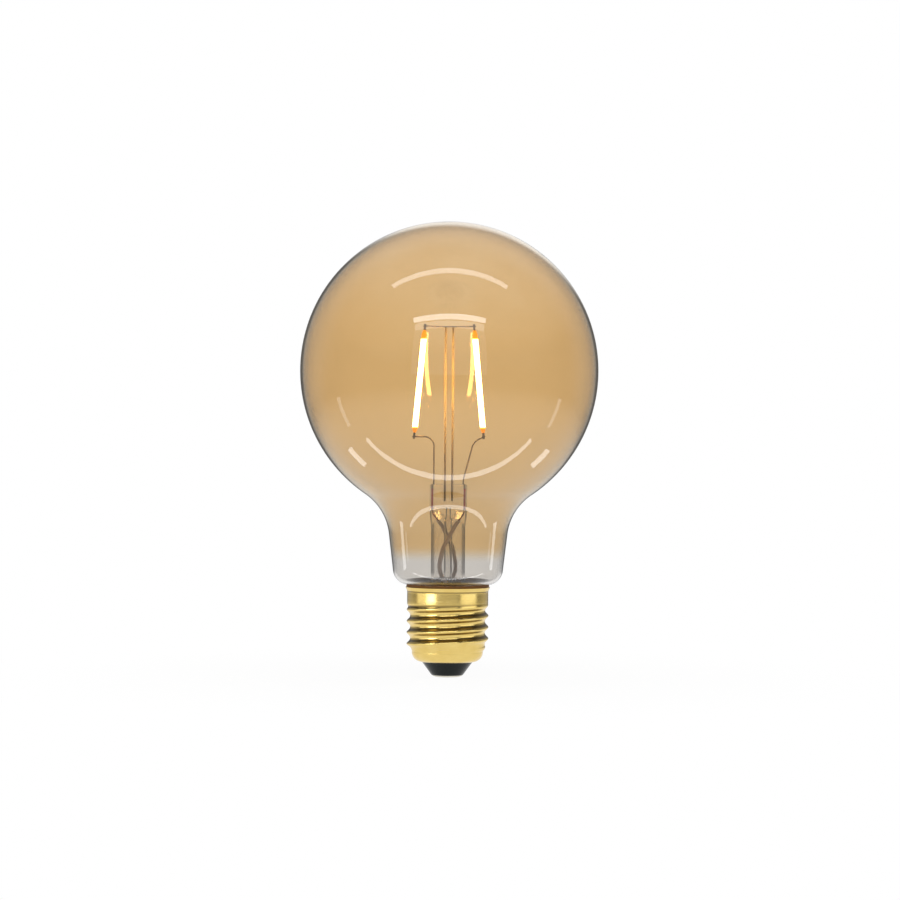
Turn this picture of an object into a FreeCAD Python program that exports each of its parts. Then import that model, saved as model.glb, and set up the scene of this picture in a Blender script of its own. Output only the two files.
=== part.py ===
import FreeCAD
import Part
import math
import os

# Globe lamp with light-emitting filaments and a screw cap, in millimetres.
# The origin is the middle of the centre contact's face, +Z runs up the lamp axis to the crown,
# and the wide face of the stem's press seal looks along Y.

# Glass envelope
globe_diameter = 95.0
glass_wall = 0.8
throat_radius = 17.5
neck_radius = 17.5
neck_length = 11.94
neck_taper_deg = 6.8
shoulder_radius = 5.0
shoulder_gap = 0.8
tail_fillet = 1.0

# Screw cap
shell_wall = 0.3
contact_radius = 4.8
contact_face_radius = 3.0
contact_head = 0.6
contact_shank_radius = 1.3
contact_shank_length = 5.4
insulator_height = 4.25
insulator_foot_radius = 5.1
insulator_waist_radius = 8.2
insulator_lip = 0.2
bowl_radius = 3.15
bowl_floor_drop = 0.8
thread_crest_radius = 13.05
thread_depth = 1.1
thread_pitch = 3.629
thread_length = 15.5
thread_crest_rise = 0.68
thread_crest_sharpness = 0.15
thread_run_out = 2.4
thread_thinning = 0.1
thread_seat = 0.02
collar_radius = 12.92
collar_height = 3.9
lip_height = 1.2
lip_flare = 0.55
cement_gap = 0.42
cement_drop = 0.5

# Glass stem
seal_clearance = 0.4
stem_length = 36.6
stem_radius = 5.4
stem_wall = 0.9
brim_step = 1.0
pinch_half_width = 5.9
pinch_half_thickness = 2.2
pinch_height = 7.9
pinch_blend = 7.0
pinch_edge_radius = 0.6
slot_half_thickness = 1.0
slot_end_room = 0.25
exhaust_radius = 1.3
exhaust_wall = 0.5
exhaust_tip_drop = 2.4
exhaust_cone_height = 3.8
exhaust_cone_clearance = 1.45
exhaust_port_radius = 1.0
exhaust_port_rise = 1.9

# Wires
lead_radius = 0.25
lead_edge_distance = 1.2
lead_overhang = 0.6
lead_pad_x = 0.5
lead_pad_length = 2.2
seal_wire_head_inset = 1.4
seal_wire_foot_inset = 0.7
rod_radius = 0.35
rod_spacing = 2.34
rod_foot_clearance = 0.4
cross_wire_radius = 0.22
sleeve_slack = 0.05
sleeve_wall = 0.35
sleeve_clearance = 0.3
sleeve_tube_gap = 0.15
sleeve_top_drop = 3.6
sleeve_tail_drop = 0.4

# Filaments
filament_length = 32.6
filament_radius = 0.85
filament_end_radius = 0.42
filament_taper = 2.4
filament_foot_x = 10.9
filament_head_x = 7.9
filament_forward = 4.5
filament_foot_rise = 16.4
terminal_width = 0.7
terminal_thickness = 0.25
terminal_length = 2.0
weld_distance = 1.3
weld_gap = 0.03

# Driver inside the cap
board_width = 17.0
board_clearance = 5.5
board_thickness = 1.0
board_back = 1.5
rectifier_width = 4.7
rectifier_height = 3.9
rectifier_thickness = 1.5
rectifier_x = -7.2
rectifier_rise = 2.3
chip_width = 4.9
chip_height = 3.9
chip_thickness = 1.5
chip_x = 1.0
chip_rise = 2.8
capacitor_radius = 3.15
capacitor_length = 7.7
capacitor_x = 4.3
capacitor_rise = 5.3
capacitor_edge = 0.5
resistor_radius = 0.95
resistor_length = 4.0
resistor_x = -1.4
resistor_forward = 3.5
resistor_pad_drop = 1.5
resistor_stub = 0.9
resistor_lead_radius = 0.3
shell_lead_radius = 0.3
shell_lead_rise = 7.8
shell_lead_inset = 1.2
shell_lead_gap = 0.15

# Heights up the lamp axis
shell_foot_z = contact_head + insulator_height
bowl_top_z = shell_foot_z + bowl_radius
floor_z = bowl_top_z - bowl_floor_drop
thread_top_z = bowl_top_z + thread_length
collar_top_z = thread_top_z + collar_height
lip_top_z = collar_top_z + lip_height
brim_foot_z = thread_top_z + seal_clearance
seal_z = brim_foot_z + stem_wall
pinch_top_z = seal_z + stem_length
pinch_foot_z = pinch_top_z - pinch_height
tube_top_z = pinch_foot_z - pinch_blend
exhaust_joint_z = pinch_foot_z - exhaust_cone_height
exhaust_port_z = pinch_foot_z + exhaust_port_rise
seal_wire_top_z = pinch_top_z - seal_wire_head_inset
seal_wire_foot_z = pinch_foot_z + seal_wire_foot_inset
rod_foot_z = exhaust_port_z + exhaust_port_radius + rod_foot_clearance
filament_foot_z = pinch_top_z + filament_foot_rise
board_top_z = brim_foot_z - board_clearance

# Radii and places shared by pieces that meet
collar_bore_radius = collar_radius - shell_wall
tail_radius = collar_bore_radius - cement_gap
bowl_rim_radius = insulator_waist_radius + bowl_radius
thread_mean_radius = thread_crest_radius - thread_depth / 2
stem_bore_radius = stem_radius - stem_wall
flare_radius = tail_radius - glass_wall - brim_step - stem_radius
lead_x = pinch_half_width - lead_edge_distance
rod_x = rod_spacing / 2
exhaust_bore_radius = exhaust_radius - exhaust_wall
exhaust_cone_radius = lead_x - lead_radius - exhaust_cone_clearance
sleeve_bore_radius = lead_radius + sleeve_slack
sleeve_radius = sleeve_bore_radius + sleeve_wall
board_rear = board_back + board_thickness
thread_sections_per_turn = 7
thread_flats = 36
up = FreeCAD.Vector(0, 0, 1)


def point(radius, z):
    return FreeCAD.Vector(radius, 0, z)


def line(start, end):
    return Part.makeLine(start, end)


def polyline(points):
    return [line(a, b) for a, b in zip(points, points[1:])]


def arc_about(centre, start, end):
    """The shorter arc from start to end about a centre."""
    middle = (start + end) * 0.5 - centre
    middle.normalize()
    return Part.Arc(start, centre + middle * (start - centre).Length, end).toShape()


def revolved(edges):
    """The solid that a closed outline in the XZ plane sweeps about the lamp axis."""
    face = Part.Face(Part.Wire(Part.__sortEdges__(edges)))
    return face.revolve(FreeCAD.Vector(0, 0, 0), up, 360)


def cylinder(radius, low_z, high_z, x=0.0, y=0.0):
    return Part.makeCylinder(radius, high_z - low_z, FreeCAD.Vector(x, y, low_z), up)


def bent_path(points, bend_radius):
    """Straight runs with a tangent arc at each corner, no larger than its two runs leave room for."""
    edges = []
    start = points[0]
    for before, corner, after in zip(points, points[1:], points[2:]):
        back = before - corner
        ahead = after - corner
        half_turn = (math.pi - back.getAngle(ahead)) / 2
        room = 0.45 * min(back.Length, ahead.Length)
        cut = min(room, bend_radius * math.tan(half_turn))
        radius = cut / math.tan(half_turn)
        back.normalize()
        ahead.normalize()
        inward = back + ahead
        inward.normalize()
        arc_start = corner + back * cut
        arc_end = corner + ahead * cut
        arc_middle = corner + inward * (radius / math.cos(half_turn) - radius)
        edges.append(line(start, arc_start))
        edges.append(Part.Arc(arc_start, arc_middle, arc_end).toShape())
        start = arc_end
    edges.append(line(start, points[-1]))
    return Part.Wire(edges)


def wire_along(points, radius, bend_radius):
    """A round wire bent along a route."""
    circle = Part.makeCircle(radius, points[0], points[1] - points[0])
    return bent_path(points, bend_radius).makePipeShell([Part.Wire(circle)], True, False)


# Glass envelope: globe, throat, neck, shoulder and the tail that sits in the cap

def envelope_side(inset):
    """The envelope's outline from crown to tail, moved into the glass by inset."""
    taper = math.radians(neck_taper_deg)
    outward = FreeCAD.Vector(math.cos(taper), 0, -math.sin(taper))
    upward = FreeCAD.Vector(math.sin(taper), 0, math.cos(taper))
    globe_radius = globe_diameter / 2

    # The shoulder arc rounds the neck in just above the cap, and a small arc turns it down into the tail.
    shoulder_centre_z = lip_top_z + shoulder_gap + shoulder_radius
    neck_foot = point(neck_radius, shoulder_centre_z - shoulder_radius * math.sin(taper))
    shoulder_centre = neck_foot - outward * shoulder_radius
    fillet_x = tail_radius + tail_fillet
    fillet_drop = math.sqrt((shoulder_radius + tail_fillet) ** 2 - (fillet_x - shoulder_centre.x) ** 2)
    fillet_centre = point(fillet_x, shoulder_centre.z - fillet_drop)
    to_fillet = fillet_centre - shoulder_centre
    to_fillet.normalize()

    # The throat arc leaves the top of the neck and touches the globe from outside.
    throat_centre = neck_foot + upward * neck_length + outward * throat_radius
    globe_rise = math.sqrt((globe_radius + throat_radius) ** 2 - throat_centre.x ** 2)
    globe_centre = point(0, throat_centre.z + globe_rise)
    to_throat = throat_centre - globe_centre
    to_throat.normalize()

    crown = point(0, globe_centre.z + globe_radius - inset)
    globe_end = globe_centre + to_throat * (globe_radius - inset)
    neck_top = throat_centre - outward * (throat_radius + inset)
    neck_end = neck_foot - outward * inset
    shoulder_end = shoulder_centre + to_fillet * (shoulder_radius - inset)
    tail_top = point(tail_radius - inset, fillet_centre.z)
    tail_end = point(tail_radius - inset, seal_z)
    edges = [
        arc_about(globe_centre, crown, globe_end),
        arc_about(throat_centre, globe_end, neck_top),
        line(neck_top, neck_end),
        arc_about(shoulder_centre, neck_end, shoulder_end),
        arc_about(fillet_centre, shoulder_end, tail_top),
        line(tail_top, tail_end),
    ]
    return edges, crown, tail_end


def make_globe():
    outer, outer_crown, outer_end = envelope_side(0)
    inner, inner_crown, inner_end = envelope_side(glass_wall)
    return revolved(outer + inner + [line(outer_crown, inner_crown), line(outer_end, inner_end)])


# Glass stem: a flared tube pressed flat at its top round the wires

def pinch_section(half_width, half_thickness, z):
    """A flat section with round ends, in four edges."""
    end = half_width - half_thickness
    turns = ((1, -1), (1, 1), (-1, 1), (-1, -1))
    corner = [FreeCAD.Vector(sx * end, sy * half_thickness, z) for sx, sy in turns]
    right = Part.Arc(corner[0], FreeCAD.Vector(half_width, 0, z), corner[1]).toShape()
    left = Part.Arc(corner[2], FreeCAD.Vector(-half_width, 0, z), corner[3]).toShape()
    return Part.Wire([right, line(corner[1], corner[2]), left, line(corner[3], corner[0])])


def round_section(radius, half_width, half_thickness, z):
    """A circle in four arcs that meet where the corners of a pinch section lie."""
    split = math.atan2(half_thickness, half_width - half_thickness)

    def at(angle):
        return FreeCAD.Vector(radius * math.cos(angle), radius * math.sin(angle), z)

    stops = [-split, split, math.pi - split, math.pi + split, 2 * math.pi - split]
    return Part.Wire([Part.Arc(at(a), at((a + b) / 2), at(b)).toShape() for a, b in zip(stops, stops[1:])])


def press_blend(radius, half_width, half_thickness):
    """The stretch of the stem where a round section runs into a flat one."""
    step = pinch_blend / 4
    return Part.makeLoft([
        round_section(radius, half_width, half_thickness, tube_top_z),
        round_section(radius, half_width, half_thickness, tube_top_z + step),
        pinch_section(half_width, half_thickness, pinch_foot_z - step),
        pinch_section(half_width, half_thickness, pinch_foot_z),
    ], True, False)


def make_stem_tube():
    """The flare, whose brim carries the envelope's tail, and the round tube above it."""
    flare_centre = point(stem_radius + flare_radius, seal_z + flare_radius)
    flare_top = point(stem_radius, flare_centre.z)
    flare_end = point(flare_centre.x, seal_z)
    mouth = point(flare_centre.x, brim_foot_z)
    bore_foot = point(stem_bore_radius, flare_centre.z)
    return revolved([
        arc_about(flare_centre, flare_top, flare_end),
        *polyline([flare_end, point(tail_radius, seal_z), point(tail_radius, brim_foot_z), mouth]),
        arc_about(flare_centre, mouth, bore_foot),
        *polyline([bore_foot, point(stem_bore_radius, tube_top_z), point(stem_radius, tube_top_z), flare_top]),
    ])


def make_stem():
    # The press seal, with the tube's bore closing to a slot below it and a glass cone round the way out
    blend = press_blend(stem_radius, pinch_half_width, pinch_half_thickness)
    seal = Part.Face(pinch_section(pinch_half_width, pinch_half_thickness, pinch_foot_z))
    seal = seal.extrude(up * pinch_height)
    rim = [e for e in seal.Edges if all(abs(v.Z - pinch_top_z) < 1e-6 for v in e.Vertexes)]
    seal = seal.makeFillet(pinch_edge_radius, rim)
    cavity = press_blend(stem_bore_radius, lead_x + lead_radius + slot_end_room, slot_half_thickness)
    cone = Part.makeCone(exhaust_radius, exhaust_cone_radius, exhaust_cone_height, point(0, exhaust_joint_z), up)
    stem = make_stem_tube().fuse([blend.cut(cavity), seal, cone.common(blend)])

    # The way out for the air, then the wires' seats
    passage = cylinder(exhaust_bore_radius, exhaust_joint_z, exhaust_port_z)
    forward = FreeCAD.Vector(0, -1, 0)
    port = Part.makeCylinder(exhaust_port_radius, 2 * pinch_half_thickness, point(0, exhaust_port_z), forward)
    seats = [cylinder(lead_radius, pinch_foot_z, pinch_top_z, side * lead_x) for side in (-1, 1)]
    seats += [cylinder(rod_radius, rod_foot_z, pinch_top_z, side * rod_x) for side in (-1, 1)]
    return stem.cut([passage, port, *seats]).removeSplitter()


def make_exhaust_tube():
    """The pumping tube, open at the press seal and melted shut at its tip."""
    tip_centre = point(0, seal_z - exhaust_tip_drop + exhaust_radius)
    outer_foot = point(exhaust_radius, tip_centre.z)
    inner_foot = point(exhaust_bore_radius, tip_centre.z)
    outer_tip = point(0, tip_centre.z - exhaust_radius)
    inner_tip = point(0, tip_centre.z - exhaust_bore_radius)
    return revolved([
        arc_about(tip_centre, outer_foot, outer_tip),
        line(outer_tip, inner_tip),
        arc_about(tip_centre, inner_tip, inner_foot),
        *polyline([
            inner_foot,
            point(exhaust_bore_radius, exhaust_joint_z),
            point(exhaust_radius, exhaust_joint_z),
            outer_foot,
        ]),
    ])


# Filaments, drawn upright on the axis and then leaned into place

def filament_ends(side):
    """Foot and head of a filament's coated length."""
    foot = FreeCAD.Vector(side * filament_foot_x, -filament_forward, filament_foot_z)
    across = filament_head_x - filament_foot_x
    rise = math.sqrt(filament_length ** 2 - across ** 2)
    return foot, foot + FreeCAD.Vector(side * across, 0, rise)


def weld_point(side, at_head):
    """Where a wire crosses a filament's tab."""
    foot, head = filament_ends(side)
    along = head - foot
    along.normalize()
    return head + along * weld_distance if at_head else foot - along * weld_distance


def weld_y(wire_radius):
    """How far forward a wire lies that rests on the back of a tab."""
    return -filament_forward + terminal_thickness / 2 + weld_gap + wire_radius


def leaned(shape, side):
    """Moves a shape drawn upright at the origin to a filament's foot and lean."""
    foot, head = filament_ends(side)
    return shape.transformed(FreeCAD.Placement(foot, FreeCAD.Rotation(up, head - foot)).toMatrix())


def make_filament(side):
    full = 0.85 * (filament_radius - filament_end_radius) + filament_end_radius
    foot = point(filament_end_radius, 0)
    low = point(filament_radius, filament_taper)
    high = point(filament_radius, filament_length - filament_taper)
    head = point(filament_end_radius, filament_length)
    rod = revolved([
        Part.Arc(foot, point(full, filament_taper / 2), low).toShape(),
        line(low, high),
        Part.Arc(high, point(full, filament_length - filament_taper / 2), head).toShape(),
        *polyline([head, point(0, filament_length), point(0, 0), foot]),
    ])
    return leaned(rod, side)


def make_terminal(side, at_head):
    """The metal tab at one end of a filament."""
    z = filament_length if at_head else -terminal_length
    corner = FreeCAD.Vector(-terminal_width / 2, -terminal_thickness / 2, z)
    return leaned(Part.makeBox(terminal_width, terminal_thickness, terminal_length, corner), side)


# Wires inside the globe

def make_inner_lead(side):
    """From the press seal out to a filament's foot: the left one stands upright, the right one leans out."""
    weld = weld_point(side, False)
    weld.y = weld_y(lead_radius)
    start = point(side * lead_x, seal_wire_top_z)
    mouth = point(side * lead_x, pinch_top_z + seal_wire_head_inset)
    if side < 0:
        knee = FreeCAD.Vector(mouth.x, weld.y, weld.z)
    else:
        knee = FreeCAD.Vector((mouth.x + weld.x) / 2, weld.y, weld.z - (weld.x - mouth.x) / 4)
    over = weld - knee
    over.normalize()
    return wire_along([start, mouth, knee, weld + over * lead_overhang], lead_radius, 5.0)


def make_support_rod(side):
    rod_top_z = weld_point(side, True).z - cross_wire_radius
    return cylinder(rod_radius, rod_foot_z, rod_top_z, side * rod_x)


def make_cross_wire():
    """Joins the two filaments' heads over the tops of the support rods."""
    def arm(side):
        weld = weld_point(side, True)
        weld.y = weld_y(cross_wire_radius)
        end = weld + FreeCAD.Vector(side * lead_overhang, 0, 0)
        knee = weld - FreeCAD.Vector(side * 2 * lead_overhang, 0, 0)
        return [end, knee, FreeCAD.Vector(side * 2 * rod_x, 0, weld.z)]

    return wire_along(arm(-1) + arm(1)[::-1], cross_wire_radius, 2.0)


def make_seal_wire(side):
    return cylinder(lead_radius, seal_wire_foot_z, seal_wire_top_z, side * lead_x)


# Leads from the press seal to the driver: they cross in the stem, before and behind the exhaust tube

def outer_lead_route(side):
    depth = -side * (exhaust_radius + sleeve_radius + sleeve_tube_gap)
    free_radius = stem_bore_radius - sleeve_radius - sleeve_clearance
    bow = math.sqrt(free_radius ** 2 - depth ** 2)
    on_board = board_back - lead_radius - weld_gap if depth < 0 else board_rear + lead_radius + weld_gap

    def in_tube(across, share):
        z = seal_z + share * (tube_top_z - seal_z)
        return FreeCAD.Vector(across * side * bow, depth, z)

    return [
        point(side * lead_x, seal_wire_foot_z),
        point(side * lead_x, pinch_foot_z - pinch_blend / 6),
        in_tube(0.52, 1.03),
        in_tube(-0.56, 0.75),
        in_tube(-1.0, 0.45),
        in_tube(-0.2, 0.17),
        in_tube(0.56, -0.065),
        FreeCAD.Vector(side * lead_pad_x, on_board, board_top_z + lead_pad_length / 2),
        FreeCAD.Vector(side * lead_pad_x, on_board, board_top_z - lead_pad_length),
    ]


def make_outer_lead(side):
    return wire_along(outer_lead_route(side), lead_radius, 9.0)


def make_lead_sleeve(side):
    route = outer_lead_route(side)
    tube = wire_along(route, sleeve_radius, 9.0).cut(wire_along(route, sleeve_bore_radius, 9.0))
    low_z = seal_z - sleeve_tail_drop
    return tube.common(cylinder(stem_radius, low_z, pinch_foot_z - sleeve_top_drop))


# Screw cap

def thread_section(z, inset):
    """A level cut through the rolled thread: its radius swings once a turn, and the swing climbs with the pitch."""
    def ease(distance):
        share = min(1.0, max(0.0, distance / thread_run_out))
        return share * share * (3 - 2 * share)

    off_bowl = ease(z - bowl_top_z)
    off_collar = ease(thread_top_z - z)
    mean = bowl_rim_radius + (thread_mean_radius - bowl_rim_radius) * off_bowl
    mean = collar_radius + (mean - collar_radius) * off_collar
    swing = thread_depth / 2 * off_bowl * off_collar
    turn = 2 * math.pi * (z - bowl_top_z - thread_crest_rise) / thread_pitch
    points = []
    for k in range(thread_flats + 1):
        angle = 2 * math.pi * (k % thread_flats) / thread_flats
        wave = math.cos(turn - angle) + thread_crest_sharpness * (math.cos(2 * (turn - angle)) - 1)
        radius = mean - thread_seat - inset + swing * wave
        points.append(FreeCAD.Vector(radius * math.cos(angle), radius * math.sin(angle), z))
    return Part.makePolygon(points)


def thread_sections(inset):
    count = math.ceil(thread_length / thread_pitch * thread_sections_per_turn)
    return [thread_section(bowl_top_z + thread_length * k / count, inset) for k in range(count + 1)]


def spun(edges):
    """The faces that an open outline sweeps about the lamp axis."""
    return Part.Wire(edges).revolve(FreeCAD.Vector(0, 0, 0), up, 360).Faces


def ring(radius, z, polygon):
    """The thin step between a round edge and an end of the thread."""
    circle = Part.Wire(Part.makeCircle(radius, point(0, z), up))
    return Part.makeFace([circle, polygon], "Part::FaceMakerBullseye")


def make_screw_shell():
    """Thin sheet, so it is closed from its faces: flared collar, rolled thread and the bowl on the insulator."""
    faces = spun(polyline([
        point(collar_radius, thread_top_z),
        point(collar_radius, collar_top_z),
        point(collar_radius + lip_flare, lip_top_z - shell_wall / 2),
        point(collar_radius + lip_flare - shell_wall, lip_top_z),
        point(collar_bore_radius, collar_top_z + shell_wall / 2),
        point(collar_bore_radius, thread_top_z),
    ]))
    centre = point(insulator_waist_radius, bowl_top_z)
    outer_top = point(bowl_rim_radius, bowl_top_z)
    outer_foot = point(insulator_waist_radius, shell_foot_z)
    inner_top = point(bowl_rim_radius - shell_wall, bowl_top_z)
    inner_foot = point(insulator_waist_radius, shell_foot_z + shell_wall)
    faces += spun([
        arc_about(centre, outer_top, outer_foot),
        line(outer_foot, inner_foot),
        arc_about(centre, inner_foot, inner_top),
    ])
    for inset, sheet_inset in ((0, 0), (shell_wall - thread_thinning, shell_wall)):
        sections = thread_sections(inset)
        faces += Part.makeLoft(sections, False, True).Faces
        faces.append(ring(bowl_rim_radius - sheet_inset, bowl_top_z, sections[0]))
        faces.append(ring(collar_radius - sheet_inset, thread_top_z, sections[-1]))
    sheet = Part.makeShell(faces)
    sheet.sewShape()
    solid = Part.Solid(sheet)
    return solid if solid.Volume > 0 else solid.reversed()


def make_insulator():
    """A cone outside, a flange that fills the shell's bowl inside, and a hole for the contact."""
    centre = point(insulator_waist_radius, bowl_top_z)
    waist = point(insulator_waist_radius, shell_foot_z + shell_wall)
    flange_reach = math.sqrt((bowl_radius - shell_wall) ** 2 - bowl_floor_drop ** 2)
    flange = point(insulator_waist_radius + flange_reach, floor_z)
    return revolved([
        arc_about(centre, waist, flange),
        *polyline([
            flange,
            point(contact_shank_radius, floor_z),
            point(contact_shank_radius, contact_head),
            point(insulator_foot_radius, contact_head),
            point(insulator_waist_radius - insulator_lip, shell_foot_z - insulator_lip),
            point(insulator_waist_radius, shell_foot_z),
            waist,
        ]),
    ])


def make_contact():
    """A rivet with a low domed head, drilled for the resistor's lead."""
    shank_z = contact_head + contact_shank_length
    rim = point(contact_radius, contact_head)
    face_edge = point(contact_face_radius, 0)
    dome = Part.Arc(face_edge, point((contact_radius * 3 + contact_face_radius) / 4, contact_head * 0.4), rim)
    return revolved([
        dome.toShape(),
        *polyline([
            rim,
            point(contact_shank_radius, contact_head),
            point(contact_shank_radius, shank_z),
            point(resistor_lead_radius, shank_z),
            point(resistor_lead_radius, contact_head),
            point(0, contact_head),
            point(0, 0),
            face_edge,
        ]),
    ])


def make_cement():
    foot = point(tail_radius, brim_foot_z)
    return revolved(polyline([
        foot,
        point(collar_bore_radius, brim_foot_z),
        point(collar_bore_radius, collar_top_z - cement_drop),
        point(tail_radius, collar_top_z - cement_drop),
        foot,
    ]))


# Driver: a board that stands on the insulator, with its parts on both faces

def make_board():
    corner = FreeCAD.Vector(-board_width / 2, board_back, floor_z)
    return Part.makeBox(board_width, board_thickness, board_top_z - floor_z, corner)


def make_rectifier():
    corner = FreeCAD.Vector(rectifier_x, board_back - rectifier_thickness, floor_z + rectifier_rise)
    return Part.makeBox(rectifier_width, rectifier_thickness, rectifier_height, corner)


def make_chip():
    return Part.makeBox(chip_width, chip_thickness, chip_height, FreeCAD.Vector(chip_x, board_rear, floor_z + chip_rise))


def make_capacitor():
    base = FreeCAD.Vector(capacitor_x, board_back, floor_z + capacitor_rise)
    can = Part.makeCylinder(capacitor_radius, capacitor_length, base, FreeCAD.Vector(0, -1, 0))
    return can.makeFillet(capacitor_edge, [e for e in can.Edges if isinstance(e.Curve, Part.Circle)])


def make_resistor():
    """Body and leads in one: back to the board above, down the axis into the contact below."""
    pad_z = board_top_z - resistor_pad_drop
    top = FreeCAD.Vector(resistor_x, -resistor_forward, pad_z - resistor_stub)
    foot = top - up * resistor_length
    body = cylinder(resistor_radius, foot.z, top.z, top.x, top.y)
    turn_z = (foot.z + floor_z) / 2
    high = [top, FreeCAD.Vector(top.x, top.y, pad_z), FreeCAD.Vector(top.x, board_back, pad_z)]
    low = [foot, FreeCAD.Vector(foot.x, foot.y, turn_z), point(0, turn_z), point(0, contact_head)]
    return body.fuse([wire_along(route, resistor_lead_radius, 0.8) for route in (high, low)])


def make_shell_lead():
    """Ties the board to the shell's wall."""
    reach = thread_crest_radius - thread_depth - shell_wall - shell_lead_gap
    start = FreeCAD.Vector(shell_lead_inset - board_width / 2, board_rear, floor_z + shell_lead_rise)
    outward = FreeCAD.Vector(start.x, start.y + 4.0, 0)
    outward.normalize()
    end = outward * reach + up * start.z
    knee = FreeCAD.Vector(start.x, (start.y + end.y) / 2, start.z)
    return wire_along([start, knee, end], shell_lead_radius, 1.5)


parts = {
    "glass_globe": make_globe(),
    "glass_stem": make_stem(),
    "exhaust_tube": make_exhaust_tube(),
    "cross_wire": make_cross_wire(),
    "screw_shell": make_screw_shell(),
    "cap_insulator": make_insulator(),
    "centre_contact": make_contact(),
    "capping_cement": make_cement(),
    "driver_board": make_board(),
    "bridge_rectifier": make_rectifier(),
    "driver_chip": make_chip(),
    "smoothing_capacitor": make_capacitor(),
    "fusible_resistor": make_resistor(),
    "shell_lead": make_shell_lead(),
}
for name, side in (("left", -1), ("right", 1)):
    parts["filament_" + name] = make_filament(side)
    parts["upper_terminal_" + name] = make_terminal(side, True)
    parts["lower_terminal_" + name] = make_terminal(side, False)
    parts["inner_lead_" + name] = make_inner_lead(side)
    parts["support_rod_" + name] = make_support_rod(side)
    parts["seal_wire_" + name] = make_seal_wire(side)
    parts["outer_lead_" + name] = make_outer_lead(side)
    parts["lead_sleeve_" + name] = make_lead_sleeve(side)

os.makedirs("parts", exist_ok=True)
for name, shape in parts.items():
    print(name, len(shape.Solids), shape.isValid(), round(shape.Volume, 3))
    shape.exportStep("parts/" + name + ".step")
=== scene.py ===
import bpy
import math
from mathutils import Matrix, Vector


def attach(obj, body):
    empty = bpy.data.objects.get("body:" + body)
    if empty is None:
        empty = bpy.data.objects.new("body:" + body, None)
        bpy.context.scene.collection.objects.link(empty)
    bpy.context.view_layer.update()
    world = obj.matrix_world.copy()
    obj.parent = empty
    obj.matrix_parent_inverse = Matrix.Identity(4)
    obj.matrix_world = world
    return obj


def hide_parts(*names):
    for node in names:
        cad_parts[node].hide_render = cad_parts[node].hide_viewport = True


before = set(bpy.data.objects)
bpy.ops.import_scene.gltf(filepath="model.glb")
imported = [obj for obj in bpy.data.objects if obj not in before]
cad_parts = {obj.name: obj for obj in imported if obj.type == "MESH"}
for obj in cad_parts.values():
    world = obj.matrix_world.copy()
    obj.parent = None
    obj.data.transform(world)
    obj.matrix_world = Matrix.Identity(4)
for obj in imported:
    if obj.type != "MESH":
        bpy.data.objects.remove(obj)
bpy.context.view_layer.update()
mm = 0.001
scene = bpy.context.scene
scene.view_settings.view_transform = "Standard"
scene.cycles.max_bounces = 32  # glass in glass needs long paths
scene.cycles.transmission_bounces = 32
scene.cycles.glossy_bounces = 16
print("frame loaded,", len(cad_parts), "nodes")


# Small helpers

noiseSpan = {1: 0.3, 2: 0.7}  # where most values of a noise lie
softStep = {"interpolation_type": "SMOOTHSTEP"}
colourMix = {"data_type": "RGBA"}
numberMix = {"data_type": "FLOAT"}


def toLinear(code):
    parts = [int(code[i:i + 2], 16) / 255 for i in (1, 3, 5)]
    return tuple(c / 12.92 if c <= 0.04045 else ((c + 0.055) / 1.055) ** 2.4 for c in parts) + (1.0,)


def addNode(tree, kind, settings=None, links=None):
    node = tree.nodes.new("ShaderNode" + kind)
    for key, value in (settings or {}).items():
        if isinstance(key, int) or key in node.inputs:
            node.inputs[key].default_value = value
        else:
            setattr(node, key, value)
    for key, socket in (links or {}).items():
        tree.links.new(socket, node.inputs[key])
    return node


def between(limits, unit=1.0):  # where a mapped value starts and ends
    return {1: limits[0] * unit, 2: limits[1] * unit}


def towards(limits):  # what it is mapped to
    return {3: limits[0], 4: limits[1]}


def startMaterial(name):
    material = bpy.data.materials.new(name)
    material.use_nodes = True
    tree = material.node_tree
    tree.nodes.clear()
    place = addNode(tree, "TexCoord").outputs["Object"]
    skin = addNode(tree, "BsdfPrincipled")
    addNode(tree, "OutputMaterial", links={"Surface": skin.outputs[0]})
    return material, tree, place, skin


def smoothstep(low, high, value):
    share = min(1.0, max(0.0, (value - low) / (high - low)))
    return share * share * (3 - 2 * share)


def arcPoints(cx, cz, radius, startDeg, endDeg, count):
    angles = [math.radians(startDeg + (endDeg - startDeg) * k / count) for k in range(count + 1)]
    return [(cx + radius * math.cos(a), cz + radius * math.sin(a)) for a in angles]


def linePoints(start, end, count):  # without the start
    return [(start[0] + (end[0] - start[0]) * k / count, start[1] + (end[1] - start[1]) * k / count)
            for k in range(1, count + 1)]


def spinOutline(name, outline, steps, closed):
    bpy.ops.object.select_all(action="DESELECT")
    bpy.ops.mesh.primitive_plane_add(size=mm, location=(0, 0, 0))
    piece = bpy.context.object
    piece.name = name
    bpy.ops.object.mode_set(mode="EDIT")
    bpy.ops.mesh.select_mode(type="VERT")
    bpy.ops.mesh.select_all(action="SELECT")
    bpy.ops.mesh.merge(type="CENTER")  # one vertex to draw the outline with
    bpy.ops.transform.translate(value=(outline[0][0] * mm, 0, outline[0][1] * mm))
    for (r0, z0), (r1, z1) in zip(outline, outline[1:]):
        step = ((r1 - r0) * mm, 0, (z1 - z0) * mm)
        bpy.ops.mesh.extrude_vertices_move(TRANSFORM_OT_translate={"value": step})
    bpy.ops.mesh.select_all(action="SELECT")
    if closed:
        bpy.ops.mesh.remove_doubles(threshold=1e-6)
    bpy.ops.mesh.spin(steps=steps, angle=2 * math.pi, center=(0, 0, 0), axis=(0, 0, 1))
    bpy.ops.mesh.select_all(action="SELECT")
    bpy.ops.mesh.remove_doubles(threshold=1e-6)
    bpy.ops.mesh.normals_make_consistent(inside=False)
    bpy.ops.object.mode_set(mode="OBJECT")
    return piece


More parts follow.
